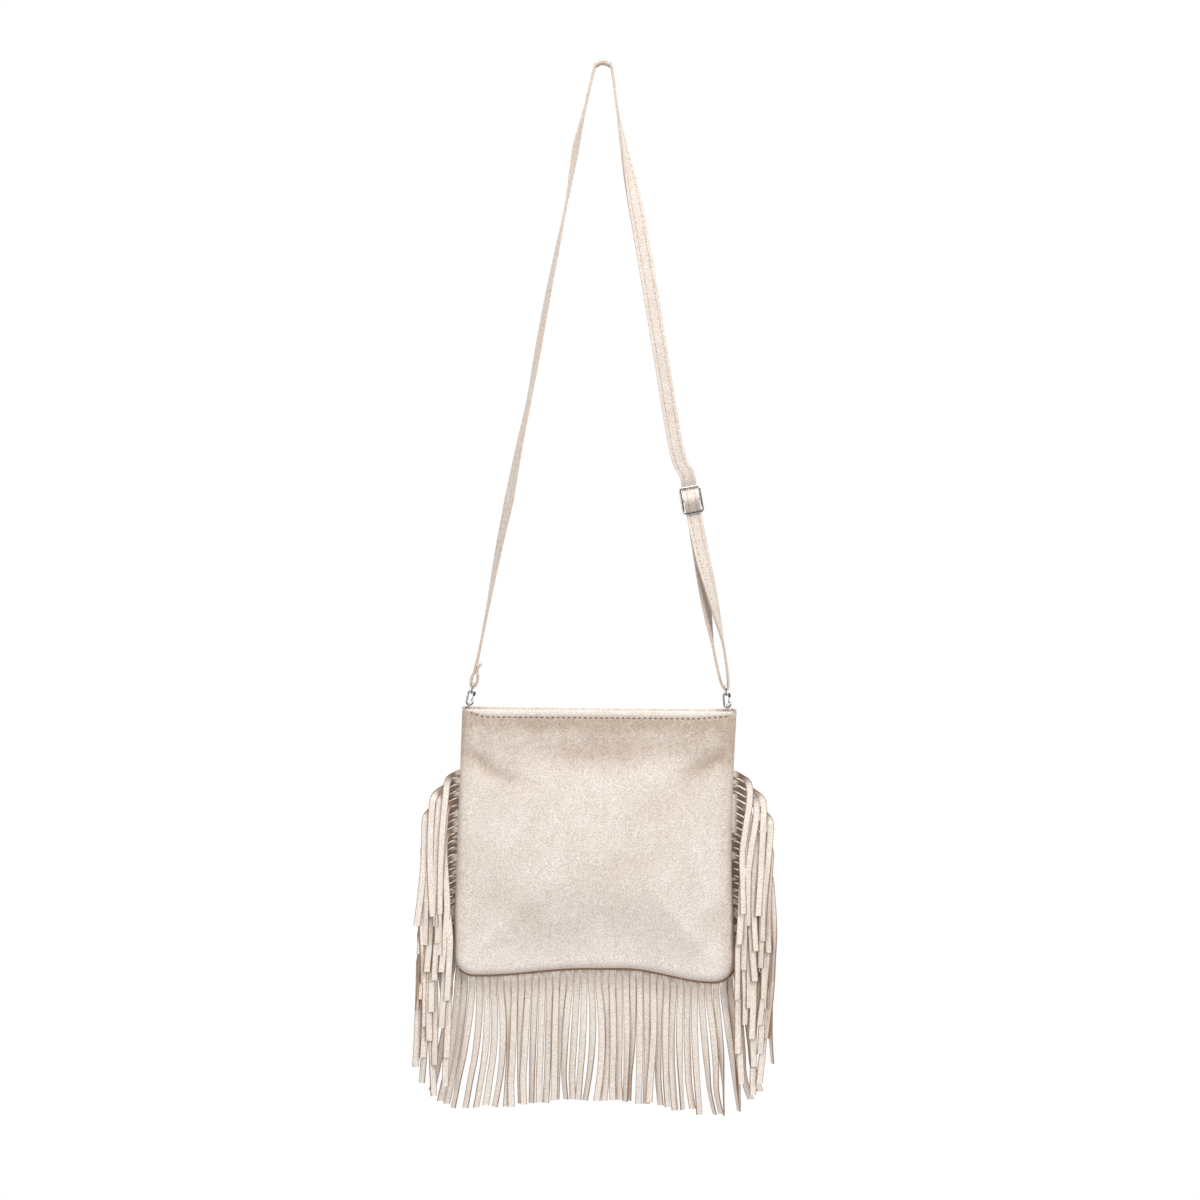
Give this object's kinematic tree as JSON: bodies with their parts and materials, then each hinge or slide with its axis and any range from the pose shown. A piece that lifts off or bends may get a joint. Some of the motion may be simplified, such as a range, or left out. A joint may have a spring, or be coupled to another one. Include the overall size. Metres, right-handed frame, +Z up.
{
  "type": "fringed shoulder bag",
  "caption": "Flat zipped suede shoulder bag hanging from its long strap, with cut fringe sewn along both sides and the bottom.",
  "frame": {"origin": "underside of the strap at its top, where a hook, peg or rail holds it", "axes": "+Z up; the front panel faces -Y; +X to the right as seen from the front, the side of the slide"},
  "size_m": [0.3613, 0.0335, 1.0539],
  "materials": {
    "suede": "matte suede",
    "hardware": "polished pale nickel",
    "zip_metal": "satin",
    "zip_tape": "woven tape",
    "zip_coil": "moulded coil",
    "lining": "plain cotton"
  },
  "bodies": {
    "strap": {"strap": "suede", "strap_slide": "hardware", "left_eye": "hardware", "right_eye": "hardware"},
    "left_hook": {"left_hook": "hardware"},
    "right_hook": {"right_hook": "hardware"},
    "left_trigger": {"left_trigger": "hardware"},
    "right_trigger": {"right_trigger": "hardware"},
    "bag": {"left_ring": "hardware", "right_ring": "hardware", "left_tab": "suede", "right_tab": "suede", "front_panel": "suede", "back_panel": "suede", "lining": "lining", "fringe": "suede", "tape_front": "zip_tape", "tape_back": "zip_tape", "coil_front": "zip_coil", "coil_back": "zip_coil", "stop_left": "zip_metal", "stop_right": "zip_metal"},
    "zip_slider": {"zip_slider": "zip_metal"},
    "zip_pull": {"zip_pull": "zip_metal"}
  },
  "joints": [
    {"name": "bag_swing", "type": "hinge", "parent": "strap", "child": "bag", "pos_m": [-0.00472, 0, -0.64202], "axis": [1, 0, -0.0099], "range_deg": [-25, 25]},
    {"name": "left_hook_turn", "type": "hinge", "parent": "strap", "child": "left_hook", "pos_m": [-0.13117, 0, -0.62739], "axis": [-0.2079, 0, -0.9781], "range_deg": [-25, 25]},
    {"name": "right_hook_turn", "type": "hinge", "parent": "strap", "child": "right_hook", "pos_m": [0.12324, 0, -0.62971], "axis": [0.0976, 0, -0.9952], "range_deg": [-25, 25]},
    {"name": "left_trigger_press", "type": "hinge", "parent": "left_hook", "child": "left_trigger", "pos_m": [-0.12869, 0, -0.63062], "axis": [0, 1, 0], "range_deg": [0, 22], "stiffness_Nm_per_rad": 0.004, "springref_deg": -17.19},
    {"name": "right_trigger_press", "type": "hinge", "parent": "right_hook", "child": "right_trigger", "pos_m": [0.12658, 0, -0.63205], "axis": [0, 1, 0], "range_deg": [0, 22], "stiffness_Nm_per_rad": 0.004, "springref_deg": -17.19},
    {"name": "zip_run", "type": "slide", "parent": "bag", "child": "zip_slider", "axis": [1, 0, 0], "range_m": [-0.215, 0]},
    {"name": "pull_flap", "type": "hinge", "parent": "zip_slider", "child": "zip_pull", "pos_m": [0.103, 0.00135, -0.64955], "axis": [0, 1, 0], "range_deg": [0, 160]}
  ]
}
